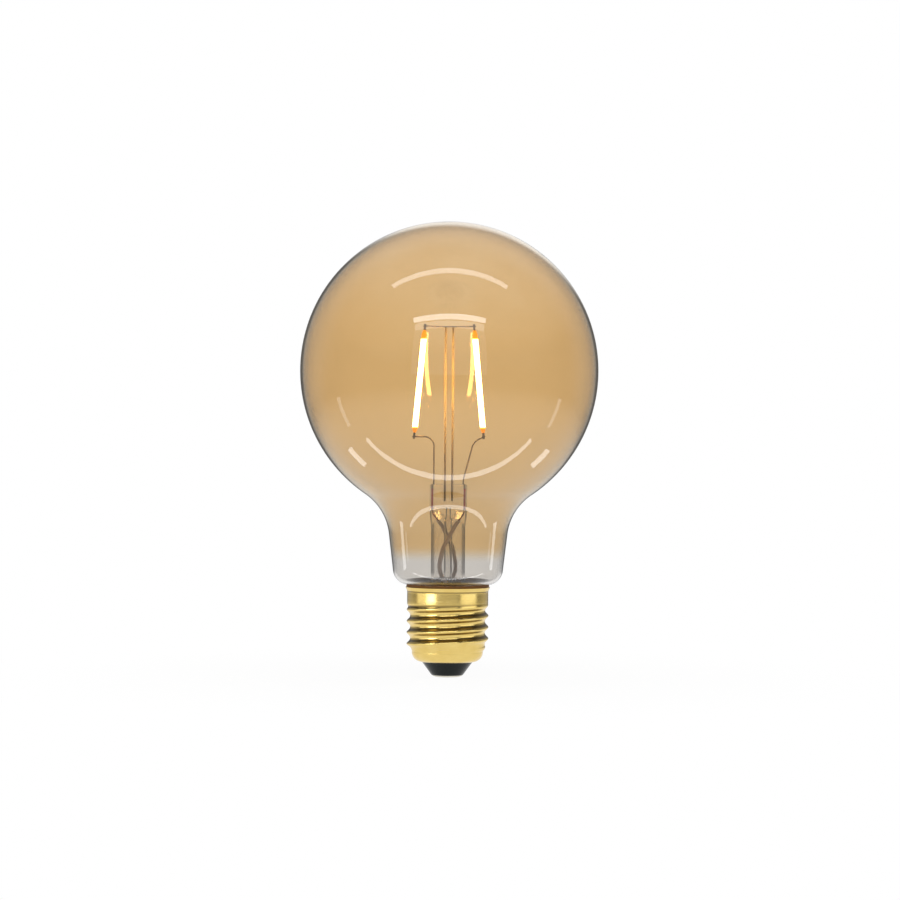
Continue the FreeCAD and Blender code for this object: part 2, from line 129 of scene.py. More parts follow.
def ringTube(name, rings, count):
    bpy.ops.object.select_all(action="DESELECT")
    bpy.ops.mesh.primitive_circle_add(vertices=count, radius=mm, fill_type="NGON", location=(0, 0, 0))
    piece = bpy.context.object
    piece.name = name
    bpy.ops.object.mode_set(mode="EDIT")
    bpy.ops.mesh.select_mode(type="FACE")
    bpy.ops.mesh.select_all(action="SELECT")
    for _ in rings[1:]:
        bpy.ops.mesh.extrude_region_move(TRANSFORM_OT_translate={"value": (0, 0, mm)})
    bpy.ops.object.mode_set(mode="OBJECT")
    for vertex in piece.data.vertices:  # each ring goes to its own section
        angle = math.atan2(vertex.co.y, vertex.co.x)
        x, y, z = rings[round(vertex.co.z / mm)](angle)
        vertex.co = (x * mm, y * mm, z * mm)
    bpy.ops.object.mode_set(mode="EDIT")
    bpy.ops.mesh.select_all(action="SELECT")
    bpy.ops.mesh.normals_make_consistent(inside=False)
    bpy.ops.object.mode_set(mode="OBJECT")
    return piece


def applyModifier(piece, kind, settings):
    modifier = piece.modifiers.new(kind.lower(), kind)
    for key, value in settings.items():
        setattr(modifier, key, value)
    bpy.context.view_layer.objects.active = piece
    bpy.ops.object.modifier_apply(modifier=modifier.name)


def finishPiece(piece, node, material, smoothDeg):
    bpy.ops.object.select_all(action="DESELECT")
    piece.select_set(True)
    bpy.context.view_layer.objects.active = piece
    bpy.ops.object.shade_smooth_by_angle(angle=math.radians(smoothDeg))
    piece.data.materials.clear()
    piece.data.materials.append(material)
    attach(piece, "root")
    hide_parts(node)
    print("made", piece.name, len(piece.data.polygons), "faces")


def dressNode(names, material):
    for name in names:
        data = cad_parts[name].data
        data.materials.clear()
        data.materials.append(material)


# Amber glass: blown soda glass with a baked amber lacquer that fades out on the neck. Clear depth, sharp
# reflections that wander a little, and a tint that is patchy and thins out towards the crown.
amberLook = {"neck": "#E8D3AF", "belly": "#F2DAB2", "crown": "#F9E6C9", "bare": "#E8E5E1",
             "fade": (36.5, 42.0), "neckToBelly": (50.0, 86.0), "bellyToCrown": (104.0, 142.0),
             "wander": 40.0, "patch": 26.0, "ripple": 14.0, "bump": 0.05, "bumpDepth": 0.4, "ior": 1.5,
             "depthTint": "#8C7F72", "depth": 75.0}
amberGlass, tree, place, skin = startMaterial("blown_glass_amber_lacquer")
height = addNode(tree, "SeparateXYZ", links={0: place}).outputs["Z"]
patch = addNode(tree, "TexNoise", {"Scale": 1000 / amberLook["patch"], "Detail": 3.0}, {"Vector": place})
uneven = addNode(tree, "Math", {"operation": "MULTIPLY_ADD", 1: amberLook["wander"] * mm,
                                2: -amberLook["wander"] / 2 * mm}, {0: patch.outputs["Fac"]})
wander = addNode(tree, "Math", {"operation": "ADD"}, {0: height, 1: uneven.outputs[0]})  # uneven tones
toBelly = addNode(tree, "MapRange", between(amberLook["neckToBelly"], mm), {0: wander.outputs[0]})
toCrown = addNode(tree, "MapRange", between(amberLook["bellyToCrown"], mm), {0: wander.outputs[0]})
lower = addNode(tree, "Mix", {**colourMix, 6: toLinear(amberLook["neck"]), 7: toLinear(amberLook["belly"])},
                {0: toBelly.outputs[0]})
tint = addNode(tree, "Mix", {**colourMix, 7: toLinear(amberLook["crown"])},
               {0: toCrown.outputs[0], 6: lower.outputs[2]})
fade = addNode(tree, "MapRange", {**softStep, **between(amberLook["fade"], mm)}, {0: height})
coat = addNode(tree, "Mix", {**colourMix, 6: toLinear(amberLook["bare"])},
               {0: fade.outputs[0], 7: tint.outputs[2]})
ripple = addNode(tree, "TexNoise", {"Scale": 1000 / amberLook["ripple"], "Detail": 1.0}, {"Vector": place})
relief = addNode(tree, "Bump", {"Strength": amberLook["bump"], "Distance": amberLook["bumpDepth"] * mm},
                 {"Height": ripple.outputs["Fac"]})
skin.inputs["Roughness"].default_value = 0.0
skin.inputs["IOR"].default_value = amberLook["ior"]
skin.inputs["Transmission Weight"].default_value = 1.0
tree.links.new(coat.outputs[2], skin.inputs["Base Color"])
tree.links.new(relief.outputs[0], skin.inputs["Normal"])
soak = addNode(tree, "VolumeAbsorption", {"Color": toLinear(amberLook["depthTint"]),
                                          "Density": amberLook["depth"]})  # dark where seen edge on
tree.links.new(soak.outputs[0], tree.nodes["Material Output"].inputs["Volume"])

# Clear glass: drawn lead-free tube, pressed hot. Colourless, with faint draw lines up the tube, drawn coarser
# than the real ones so that they show.
clearLook = {"clear": "#FFFFFF", "smoky": "#FBF9F6", "drawLine": 1.6, "drawLength": 30.0, "bump": 0.08,
             "bumpDepth": 0.2, "ior": 1.52, "depthTint": "#A08468", "depth": 22.0}
clearGlass, tree, place, skin = startMaterial("drawn_clear_glass")
stretch = addNode(tree, "Mapping", {"Scale": (1000 / clearLook["drawLine"], 1000 / clearLook["drawLine"],
                                              1000 / clearLook["drawLength"])}, {"Vector": place})
lines = addNode(tree, "TexNoise", {"Scale": 1.0, "Detail": 2.0}, {"Vector": stretch.outputs[0]})
tint = addNode(tree, "Mix", {**colourMix, 6: toLinear(clearLook["smoky"]), 7: toLinear(clearLook["clear"])},
               {0: lines.outputs["Fac"]})
relief = addNode(tree, "Bump", {"Strength": clearLook["bump"], "Distance": clearLook["bumpDepth"] * mm},
                 {"Height": lines.outputs["Fac"]})
skin.inputs["Roughness"].default_value = 0.0
skin.inputs["IOR"].default_value = clearLook["ior"]
skin.inputs["Transmission Weight"].default_value = 1.0
tree.links.new(tint.outputs[2], skin.inputs["Base Color"])
tree.links.new(relief.outputs[0], skin.inputs["Normal"])
soak = addNode(tree, "VolumeAbsorption", {"Color": toLinear(clearLook["depthTint"]),
                                          "Density": clearLook["depth"]})  # brown where seen edge on
tree.links.new(soak.outputs[0], tree.nodes["Material Output"].inputs["Volume"])

# Cap brass: rolled sheet, bright-dipped. Streaks round the shell from rolling, drawn coarser than the real
# ones so that they show, and a painted shade line along the upper flank of each thread and under the lip.
brassLook = {"bright": "#F0D68A", "dull": "#DDBC66", "paintedShade": "#33200A", "paintedShadeShare": 0.85, "streak": 0.5,
             "streakLength": 9.0, "mottle": 4.0, "pitch": 3.629, "crestZ": 8.68, "lineTurn": 1.5,
             "lineWave": (0.45, 0.98), "threadFoot": (10.0, 11.8), "threadTop": (24.0, 22.5),
             "lipLineZ": 27.3, "lipLine": (0.30, 0.08), "lipShare": 0.8, "roughness": (0.18, 0.28),
             "bump": 0.025, "bumpDepth": 0.2}
capBrass, tree, place, skin = startMaterial("rolled_brass_sheet")
axes = addNode(tree, "SeparateXYZ", links={0: place})
# Painted shade: a dark line winds with the thread along its upper flank
perMetre = 2 * math.pi / (brassLook["pitch"] * mm)
lineStart = -perMetre * brassLook["crestZ"] * mm - brassLook["lineTurn"]
climb = addNode(tree, "Math", {"operation": "MULTIPLY_ADD", 1: perMetre, 2: lineStart},
                {0: axes.outputs[2]})
around = addNode(tree, "Math", {"operation": "ARCTAN2"}, {0: axes.outputs[1], 1: axes.outputs[0]})
phase = addNode(tree, "Math", {"operation": "SUBTRACT"}, {0: climb.outputs[0], 1: around.outputs[0]})
wave = addNode(tree, "Math", {"operation": "COSINE"}, {0: phase.outputs[0]})
line = addNode(tree, "MapRange", {**softStep, **between(brassLook["lineWave"])}, {0: wave.outputs[0]})
onThread = addNode(tree, "MapRange", {**softStep, **between(brassLook["threadFoot"], mm)},
                   {0: axes.outputs[2]})
belowCollar = addNode(tree, "MapRange", {**softStep, **between(brassLook["threadTop"], mm)},
                      {0: axes.outputs[2]})
threadOnly = addNode(tree, "Math", {"operation": "MULTIPLY"},
                     {0: onThread.outputs[0], 1: belowCollar.outputs[0]})
threadShade = addNode(tree, "Math", {"operation": "MULTIPLY"},
                     {0: line.outputs[0], 1: threadOnly.outputs[0]})
# Painted shade: a dark band just under the lip
offLip = addNode(tree, "Math", {"operation": "SUBTRACT", 1: brassLook["lipLineZ"] * mm},
                 {0: axes.outputs[2]})
fromLip = addNode(tree, "Math", {"operation": "ABSOLUTE"}, {0: offLip.outputs[0]})
lipShade = addNode(tree, "MapRange", {**softStep, **between(brassLook["lipLine"], mm),
                                     4: brassLook["lipShare"]},
                  {0: fromLip.outputs[0]})
paintedShadeShare = addNode(tree, "Math", {"operation": "MAXIMUM"},
                    {0: threadShade.outputs[0], 1: lipShade.outputs[0]})
mottle = addNode(tree, "TexNoise", {"Scale": 1000 / brassLook["mottle"], "Detail": 5.0}, {"Vector": place})
stretch = addNode(tree, "Mapping", {"Scale": (1000 / brassLook["streakLength"],
                                              1000 / brassLook["streakLength"],
                                              1000 / brassLook["streak"])}, {"Vector": place})
streak = addNode(tree, "TexNoise", {"Scale": 1.0, "Detail": 4.0}, {"Vector": stretch.outputs[0]})
worn = addNode(tree, "Mix", {**colourMix, 6: toLinear(brassLook["dull"]), 7: toLinear(brassLook["bright"])},
               {0: mottle.outputs["Fac"]})
# How far the painted shade darkens the brass colour
shadeDepth = addNode(tree, "Math", {"operation": "MULTIPLY", 1: brassLook["paintedShadeShare"]},
                    {0: paintedShadeShare.outputs[0]})
colour = addNode(tree, "Mix", {**colourMix, 7: toLinear(brassLook["paintedShade"])},
                 {0: shadeDepth.outputs[0], 6: worn.outputs[2]})
polish = addNode(tree, "MapRange", {**noiseSpan, **towards(brassLook["roughness"])},
                 {0: streak.outputs["Fac"]})
relief = addNode(tree, "Bump", {"Strength": brassLook["bump"], "Distance": brassLook["bumpDepth"] * mm},
                 {"Height": streak.outputs["Fac"]})
skin.inputs["Metallic"].default_value = 1.0
tree.links.new(colour.outputs[2], skin.inputs["Base Color"])
tree.links.new(polish.outputs[0], skin.inputs["Roughness"])
tree.links.new(relief.outputs[0], skin.inputs["Normal"])

# Black glass: cast, the dark insulator of a lamp cap. Green-black, glossy, with flow marks, and pits that are
# drawn coarser than the real ones so that they show.
capGlassLook = {"dark": "#060A0A", "green": "#101A18", "flow": 2.6, "pit": 0.35, "roughness": (0.12, 0.30),
                "bump": 0.12, "bumpDepth": 0.1, "ior": 1.5, "specular": 0.2}
blackGlass, tree, place, skin = startMaterial("cast_black_cap_glass")
flow = addNode(tree, "TexNoise", {"Scale": 1000 / capGlassLook["flow"], "Detail": 4.0, "Distortion": 1.2},
               {"Vector": place})
pit = addNode(tree, "TexNoise", {"Scale": 1000 / capGlassLook["pit"], "Detail": 2.0}, {"Vector": place})
colour = addNode(tree, "Mix", {**colourMix, 6: toLinear(capGlassLook["dark"]),
                               7: toLinear(capGlassLook["green"])},
                 {0: flow.outputs["Fac"]})
gloss = addNode(tree, "MapRange", {**noiseSpan, **towards(capGlassLook["roughness"])},
                {0: flow.outputs["Fac"]})
relief = addNode(tree, "Bump", {"Strength": capGlassLook["bump"],
                                "Distance": capGlassLook["bumpDepth"] * mm},
                 {"Height": pit.outputs["Fac"]})
skin.inputs["IOR"].default_value = capGlassLook["ior"]
skin.inputs["Specular IOR Level"].default_value = capGlassLook["specular"]  # dulled by handling
tree.links.new(colour.outputs[2], skin.inputs["Base Color"])
tree.links.new(gloss.outputs[0], skin.inputs["Roughness"])
tree.links.new(relief.outputs[0], skin.inputs["Normal"])

# Tinned metal: brass rivet dipped in solder. Pale grey, softly pooled, a little uneven.
tinLook = {"pale": "#E8E4D6", "grey": "#BDB8A8", "pool": 1.8, "roughness": (0.22, 0.42), "bump": 0.25,
           "bumpDepth": 0.2}
tinnedMetal, tree, place, skin = startMaterial("solder_tinned_brass")
pool = addNode(tree, "TexNoise", {"Scale": 1000 / tinLook["pool"], "Detail": 4.0}, {"Vector": place})
colour = addNode(tree, "Mix", {**colourMix, 6: toLinear(tinLook["grey"]), 7: toLinear(tinLook["pale"])},
                 {0: pool.outputs["Fac"]})
gloss = addNode(tree, "MapRange", {**noiseSpan, **towards(tinLook["roughness"])}, {0: pool.outputs["Fac"]})
relief = addNode(tree, "Bump", {"Strength": tinLook["bump"], "Distance": tinLook["bumpDepth"] * mm},
                 {"Height": pool.outputs["Fac"]})
skin.inputs["Metallic"].default_value = 1.0
tree.links.new(colour.outputs[2], skin.inputs["Base Color"])
tree.links.new(gloss.outputs[0], skin.inputs["Roughness"])
tree.links.new(relief.outputs[0], skin.inputs["Normal"])

# Nickel wire: hard-drawn, slightly oxidised by the flame of the press. Browned in places, with lines along
# the wire, drawn coarser than the real ones so that they show.
nickelLook = {"bright": "#DCD2C4", "brown": "#A08468", "line": 0.15, "lineLength": 6.0, "stain": 5.0,
              "roughness": (0.30, 0.50)}
nickelWire, tree, place, skin = startMaterial("drawn_nickel_wire")
stretch = addNode(tree, "Mapping", {"Scale": (1000 / nickelLook["line"], 1000 / nickelLook["line"],
                                              1000 / nickelLook["lineLength"])}, {"Vector": place})
lines = addNode(tree, "TexNoise", {"Scale": 1.0, "Detail": 3.0}, {"Vector": stretch.outputs[0]})
stain = addNode(tree, "TexNoise", {"Scale": 1000 / nickelLook["stain"], "Detail": 3.0}, {"Vector": place})
colour = addNode(tree, "Mix", {**colourMix, 6: toLinear(nickelLook["brown"]),
                               7: toLinear(nickelLook["bright"])},
                 {0: stain.outputs["Fac"]})
gloss = addNode(tree, "MapRange", {**noiseSpan, **towards(nickelLook["roughness"])},
                {0: lines.outputs["Fac"]})
skin.inputs["Metallic"].default_value = 1.0
tree.links.new(colour.outputs[2], skin.inputs["Base Color"])
tree.links.new(gloss.outputs[0], skin.inputs["Roughness"])

# Support rods: molybdenum wire, blasted so that it spreads light. Pale, warm and dull, with pits drawn coarser
# than the real ones so that they show.
rodLook = {"pale": "#FBEFD6", "dark": "#E4D0A8", "pit": 0.5, "roughness": (0.72, 0.88)}
blastedRod, tree, place, skin = startMaterial("blasted_molybdenum_rod")
pit = addNode(tree, "TexNoise", {"Scale": 1000 / rodLook["pit"], "Detail": 3.0}, {"Vector": place})
colour = addNode(tree, "Mix", {**colourMix, 6: toLinear(rodLook["dark"]), 7: toLinear(rodLook["pale"])},
                 {0: pit.outputs["Fac"]})
gloss = addNode(tree, "MapRange", {**noiseSpan, **towards(rodLook["roughness"])}, {0: pit.outputs["Fac"]})
skin.inputs["Metallic"].default_value = 1.0
tree.links.new(colour.outputs[2], skin.inputs["Base Color"])
tree.links.new(gloss.outputs[0], skin.inputs["Roughness"])

# Phosphor silicone: a chip string under a yellow silicone coat. The lit length is nearly white, and both ends
# stay orange, where no chip sits. The grain of the powder is drawn coarser than the real one so that it shows.
phosphorLook = {"foot": "#E08A1E", "head": "#F0B63A", "glow": "#FFDC9C", "endGlow": "#FFA514",
                "length": (80.0, 108.0), "litFoot": 79.6, "litTop": 107.4, "edge": 0.9, "power": (0.95, 30.0),
                "grain": 0.4, "bump": 0.2, "bumpDepth": 0.1, "roughness": 0.4, "ior": 1.42}
halfEdge = phosphorLook["edge"] / 2
phosphor, tree, place, skin = startMaterial("phosphor_silicone")
height = addNode(tree, "SeparateXYZ", links={0: place}).outputs["Z"]
upward = addNode(tree, "MapRange", between(phosphorLook["length"], mm), {0: height})
grain = addNode(tree, "TexNoise", {"Scale": 1000 / phosphorLook["grain"], "Detail": 2.0}, {"Vector": place})
colour = addNode(tree, "Mix", {**colourMix, 6: toLinear(phosphorLook["foot"]),
                               7: toLinear(phosphorLook["head"])},
                 {0: upward.outputs[0]})
footEdge = (phosphorLook["litFoot"] - halfEdge, phosphorLook["litFoot"] + halfEdge)
topEdge = (phosphorLook["litTop"] + halfEdge, phosphorLook["litTop"] - halfEdge)
fromFoot = addNode(tree, "MapRange", {**softStep, **between(footEdge, mm)}, {0: height})
toTop = addNode(tree, "MapRange", {**softStep, **between(topEdge, mm)}, {0: height})
lit = addNode(tree, "Math", {"operation": "MULTIPLY"}, {0: fromFoot.outputs[0], 1: toTop.outputs[0]})
power = addNode(tree, "MapRange", towards(phosphorLook["power"]), {0: lit.outputs[0]})
glow = addNode(tree, "Mix", {**colourMix, 6: toLinear(phosphorLook["endGlow"]),
                             7: toLinear(phosphorLook["glow"])},
               {0: lit.outputs[0]})
relief = addNode(tree, "Bump", {"Strength": phosphorLook["bump"],
                                "Distance": phosphorLook["bumpDepth"] * mm},
                 {"Height": grain.outputs["Fac"]})
skin.inputs["Roughness"].default_value = phosphorLook["roughness"]
skin.inputs["IOR"].default_value = phosphorLook["ior"]
tree.links.new(glow.outputs[2], skin.inputs["Emission Color"])
tree.links.new(colour.outputs[2], skin.inputs["Base Color"])
tree.links.new(power.outputs[0], skin.inputs["Emission Strength"])
tree.links.new(relief.outputs[0], skin.inputs["Normal"])

# Plainer finishes: one pattern each between two tones, with roughness and relief from the same pattern. The
# patterns are drawn coarser than the real grain so that they show.
plainLooks = {
    # wire clad in copper, with a red oxide skin from the sealing flame: bright red, satin, slightly mottled
    "red_oxide_copper_clad_wire": {"tones": ("#CE2A18", "#EE5038"), "grain": 0.8, "metal": 0.1,
                                   "roughness": (0.25, 0.45)},
    # soft drawn copper: warm metal that has gone dull in patches
    "bare_copper_wire": {"tones": ("#A4633C", "#D29068"), "grain": 1.2, "metal": 1.0,
                         "roughness": (0.25, 0.40)},
    # resin and marble flour, baked hard: brown, matt and grainy
    "baked_resin_cement": {"tones": ("#5E3A10", "#96601E"), "grain": 0.9, "metal": 0.0,
                           "roughness": (0.55, 0.85)},
    # glass-fibre board under green lacquer: half-gloss, with the weave's cloudy tone
    "green_lacquered_board": {"tones": ("#0F4A2A", "#1F6A3E"), "grain": 1.4, "metal": 0.0,
                              "roughness": (0.30, 0.50)},
    # moulded epoxy: dark grey, matt, with the fine bite of the mould
    "moulded_black_epoxy": {"tones": ("#121212", "#242424"), "grain": 0.3, "metal": 0.0,
                            "roughness": (0.45, 0.70)},
    # drawn aluminium: pale grey metal with soft patches
    "drawn_aluminium_can": {"tones": ("#A9AAAE", "#CFD0D2"), "grain": 0.6, "metal": 1.0,
                            "roughness": (0.20, 0.38)},
    # dipped lacquer: grey-green, glossy, a little uneven
    "resistor_lacquer": {"tones": ("#6E8C7C", "#8FA898"), "grain": 0.7, "metal": 0.0,
                         "roughness": (0.25, 0.40)},
}
plainRelief = {"Strength": 0.2, "Distance": 0.1 * mm}
plain = {}
for name, look in plainLooks.items():
    plain[name], tree, place, skin = startMaterial(name)
    grain = addNode(tree, "TexNoise", {"Scale": 1000 / look["grain"], "Detail": 4.0}, {"Vector": place})
    colour = addNode(tree, "Mix", {**colourMix, 6: toLinear(look["tones"][0]),
                                   7: toLinear(look["tones"][1])},
                     {0: grain.outputs["Fac"]})
    gloss = addNode(tree, "MapRange", {**noiseSpan, **towards(look["roughness"])},
                    {0: grain.outputs["Fac"]})
    relief = addNode(tree, "Bump", plainRelief, {"Height": grain.outputs["Fac"]})
    skin.inputs["Metallic"].default_value = look["metal"]
    tree.links.new(colour.outputs[2], skin.inputs["Base Color"])
    tree.links.new(gloss.outputs[0], skin.inputs["Roughness"])
    tree.links.new(relief.outputs[0], skin.inputs["Normal"])

# Clear sleeve: extruded silicone tube, slightly pink and milky, with soft highlights along it.
sleeveLook = {"clear": "#FFF2EC", "milky": "#F6DED6", "cloud": 2.0, "roughness": 0.22, "ior": 1.41,
              "through": 0.1}
clearSleeve, tree, place, skin = startMaterial("extruded_silicone_sleeve")
cloud = addNode(tree, "TexNoise", {"Scale": 1000 / sleeveLook["cloud"], "Detail": 2.0}, {"Vector": place})
colour = addNode(tree, "Mix", {**colourMix, 6: toLinear(sleeveLook["milky"]),
                               7: toLinear(sleeveLook["clear"])},
                 {0: cloud.outputs["Fac"]})
skin.inputs["Roughness"].default_value = sleeveLook["roughness"]
skin.inputs["IOR"].default_value = sleeveLook["ior"]
skin.inputs["Transmission Weight"].default_value = sleeveLook["through"]
tree.links.new(colour.outputs[2], skin.inputs["Base Color"])
print("materials ready")


# Globe: the blown envelope from crown to tail, spun and given its wall

globeSizes = {"globeRadius": 47.5, "wall": 0.8, "throatRadius": 17.5, "neckRadius": 17.5,
              "neckLength": 11.94, "taperDeg": 6.8, "shoulderRadius": 5.0, "shoulderZ": 34.4,
              "tailRadius": 12.2, "tailFillet": 1.0, "sealZ": 24.8, "steps": 160, "smoothDeg": 40}
globeLevels = {"globe": 84, "throat": 26, "neck": 8, "shoulder": 20, "fillet": 6, "tail": 3}


def globeOutline(s, levels):
    taper = math.radians(s["taperDeg"])
    footZ = s["shoulderZ"] - s["shoulderRadius"] * math.sin(taper)
    shoulderX = s["neckRadius"] - math.cos(taper) * s["shoulderRadius"]
    shoulderZ = footZ + math.sin(taper) * s["shoulderRadius"]
    filletX = s["tailRadius"] + s["tailFillet"]
    drop = math.sqrt((s["shoulderRadius"] + s["tailFillet"]) ** 2 - (filletX - shoulderX) ** 2)
    filletZ = shoulderZ - drop
    topX = s["neckRadius"] + math.sin(taper) * s["neckLength"]
    topZ = footZ + math.cos(taper) * s["neckLength"]
    throatX = topX + math.cos(taper) * s["throatRadius"]
    throatZ = topZ - math.sin(taper) * s["throatRadius"]
    globeZ = throatZ + math.sqrt((s["globeRadius"] + s["throatRadius"]) ** 2 - throatX ** 2)
    touchDeg = math.degrees(math.atan2(throatZ - globeZ, throatX))
    turnDeg = math.degrees(math.atan2(filletZ - shoulderZ, filletX - shoulderX))
    points = arcPoints(0, globeZ, s["globeRadius"], 90, touchDeg, levels["globe"])
    points += arcPoints(throatX, throatZ, s["throatRadius"], touchDeg + 180, 180 - s["taperDeg"],
                        levels["throat"])[1:]
    points += linePoints((topX, topZ), (s["neckRadius"], footZ), levels["neck"])
    points += arcPoints(shoulderX, shoulderZ, s["shoulderRadius"], -s["taperDeg"], turnDeg,
                        levels["shoulder"])[1:]
    points += arcPoints(filletX, filletZ, s["tailFillet"], turnDeg + 180, 180, levels["fillet"])[1:]
    points += linePoints((s["tailRadius"], filletZ), (s["tailRadius"], s["sealZ"]), levels["tail"])
    return points


globe = spinOutline("glassGlobe", globeOutline(globeSizes, globeLevels), globeSizes["steps"], False)
applyModifier(globe, "SOLIDIFY", {"thickness": globeSizes["wall"] * mm, "offset": -1.0,
                                  "use_even_offset": True})
finishPiece(globe, "glass_globe", amberGlass, globeSizes["smoothDeg"])


# Stem: flared tube, pressed flat round the wires, with a slot below the press and a hole out to the front

stemSizes = {"tailRadius": 12.2, "brimFoot": 23.9, "sealZ": 24.8, "flareRadius": 5.0, "tubeRadius": 5.4,
             "boreRadius": 4.5, "tubeTop": 46.5, "pinchFoot": 53.5, "pinchTop": 61.4, "settle": 0.6,
             "halfWidth": 5.9, "halfThickness": 2.2, "slotWidth": 5.2, "slotThickness": 1.0, "edge": 0.6,
             "coneFoot": 49.7, "coneTip": 1.3, "coneRadius": 3.0, "coneFlat": 1.5, "coneInto": 0.4,
             "passage": 0.8, "passageZ": (49.0, 51.0, 53.0), "port": 1.0, "portZ": 55.4,
             "portY": (0.0, -1.4, -4.0), "smoothDeg": 45}
stemLevels = {"blend": 28, "run": 8, "flare": 14, "edge": 6, "cone": 12}
stemRounds = {"tube": 96, "cone": 48, "passage": 32, "port": 40}


def pressedAt(angle, halfWidth, halfThickness):
    end = halfWidth - halfThickness
    split = math.atan2(halfThickness, end)
    side = 1 if math.cos(angle) >= 0 else -1
    fold = math.atan2(math.sin(angle), abs(math.cos(angle)))
    if abs(fold) <= split:
        turn = fold / split * math.pi / 2
        return side * (end + halfThickness * math.cos(turn)), halfThickness * math.sin(turn)
    share = (math.pi / 2 - abs(fold)) / (math.pi / 2 - split)
    return side * end * share, math.copysign(halfThickness, fold)


def roundRing(radius, z):
    return lambda angle: (radius * math.cos(angle), radius * math.sin(angle), z)


def pressRing(radius, halfWidth, halfThickness, z, s):
    share = smoothstep(s["tubeTop"] + s["settle"], s["pinchFoot"] - s["settle"], z)

    def at(angle):
        x, y = pressedAt(angle, halfWidth, halfThickness)
        return (x * share + radius * math.cos(angle) * (1 - share),
                y * share + radius * math.sin(angle) * (1 - share), z)
    return at


def stemRings(s, levels):
    run = levels["run"]
    blend = [s["tubeTop"] + (s["pinchFoot"] - s["tubeTop"]) * k / levels["blend"]
             for k in range(levels["blend"] + 1)]
    flareX = s["tubeRadius"] + s["flareRadius"]
    flareZ = s["sealZ"] + s["flareRadius"]
    rings = [pressRing(s["boreRadius"], s["slotWidth"], s["slotThickness"], z, s) for z in reversed(blend)]
    rings += [roundRing(s["boreRadius"], s["tubeTop"] + (flareZ - s["tubeTop"]) * k / run)
              for k in range(1, run + 1)]
    for k in range(1, levels["flare"] + 1):  # the bore opens into the brim
        a = math.pi / 2 * k / levels["flare"]
        rings.append(roundRing(flareX - (flareX - s["boreRadius"]) * math.cos(a),
                               flareZ - (flareZ - s["brimFoot"]) * math.sin(a)))
    rings += [roundRing(s["tailRadius"], s["brimFoot"]), roundRing(s["tailRadius"], s["sealZ"])]
    flare = arcPoints(flareX, flareZ, s["flareRadius"], 270, 180, levels["flare"])
    rings += [roundRing(r, z) for r, z in flare]
    rings += [roundRing(s["tubeRadius"], flareZ + (s["tubeTop"] - flareZ) * k / run) for k in range(1, run)]
    rings += [pressRing(s["tubeRadius"], s["halfWidth"], s["halfThickness"], z, s) for z in blend]
    rise = s["pinchTop"] - s["edge"] - s["pinchFoot"]
    rings += [pressRing(0, s["halfWidth"], s["halfThickness"], s["pinchFoot"] + rise * k / run, s)
              for k in range(1, run + 1)]
    for k in range(1, levels["edge"] + 1):  # rounded top edge
        a = math.pi / 2 * k / levels["edge"]
        shrink = s["edge"] * (1 - math.cos(a))
        rings.append(pressRing(0, s["halfWidth"] - shrink, s["halfThickness"] - shrink,
                               s["pinchTop"] - s["edge"] * (1 - math.sin(a)), s))
    return rings


def coneRings(s, count):
    rings = []
    for k in range(count + 1):  # a cone in the cavity, flattened by the press
        z = s["coneFoot"] + (s["pinchFoot"] + s["coneInto"] - s["coneFoot"]) * k / count
        radius = s["coneTip"] + (s["coneRadius"] - s["coneTip"]) * k / count
        flat = min(radius, s["coneFlat"])
        rings.append(lambda a, r=radius, f=flat, z=z: (r * math.cos(a), max(-f, min(f, r * math.sin(a))), z))
    return rings


def portRing(s, y):
    return lambda a: (s["port"] * math.cos(a), y, s["portZ"] + s["port"] * math.sin(a))


stem = ringTube("glassStem", stemRings(stemSizes, stemLevels), stemRounds["tube"])
cone = ringTube("stemCone", coneRings(stemSizes, stemLevels["cone"]), stemRounds["cone"])
boreRings = [roundRing(stemSizes["passage"], z) for z in stemSizes["passageZ"] + (stemSizes["portZ"],)]
bore = ringTube("stemBore", boreRings, stemRounds["passage"])
port = ringTube("stemPort", [portRing(stemSizes, y) for y in stemSizes["portY"]], stemRounds["port"])
for tool, operation in ((cone, "UNION"), (bore, "DIFFERENCE"), (port, "DIFFERENCE")):
    applyModifier(stem, "BOOLEAN", {"operation": operation, "object": tool, "solver": "EXACT"})
    bpy.data.objects.remove(tool)
finishPiece(stem, "glass_stem", clearGlass, stemSizes["smoothDeg"])

# Exhaust tube: thin glass, open at the press and melted shut at its tip
exhaustSizes = {"radius": 1.3, "bore": 0.8, "tipZ": 23.7, "topZ": 49.68, "tipLevels": 10, "boreLevels": 8,
                "steps": 40, "smoothDeg": 40}
exhaustOutline = arcPoints(0, exhaustSizes["tipZ"], exhaustSizes["radius"], 270, 360,
                           exhaustSizes["tipLevels"])
exhaustOutline += [(exhaustSizes[side], exhaustSizes["topZ"]) for side in ("radius", "bore")]
exhaustOutline += arcPoints(0, exhaustSizes["tipZ"], exhaustSizes["bore"], 0, -90,
                            exhaustSizes["boreLevels"])
exhaust = spinOutline("exhaustTube", exhaustOutline, exhaustSizes["steps"], False)
finishPiece(exhaust, "exhaust_tube", clearGlass, exhaustSizes["smoothDeg"])


# Screw shell: bowl, rolled thread, collar and flared lip, drawn up from one ring

shellSizes = {"wall": 0.3, "waist": 8.2, "bowl": 3.15, "threadFoot": 8.0, "threadTop": 23.5, "crest": 13.05,
              "depth": 1.1, "pitch": 3.629, "rise": 0.68, "sharp": 0.15, "runOut": 2.4, "inset": 0.02,
              "collar": 12.92, "collarTop": 27.4, "lipTop": 28.6, "lipBend": 0.5, "flare": 0.55, "curl": 0.6,
              "round": 168, "smoothDeg": 50}
shellLevels = {"bowl": 14, "thread": 110, "collar": 6, "lip": 10}


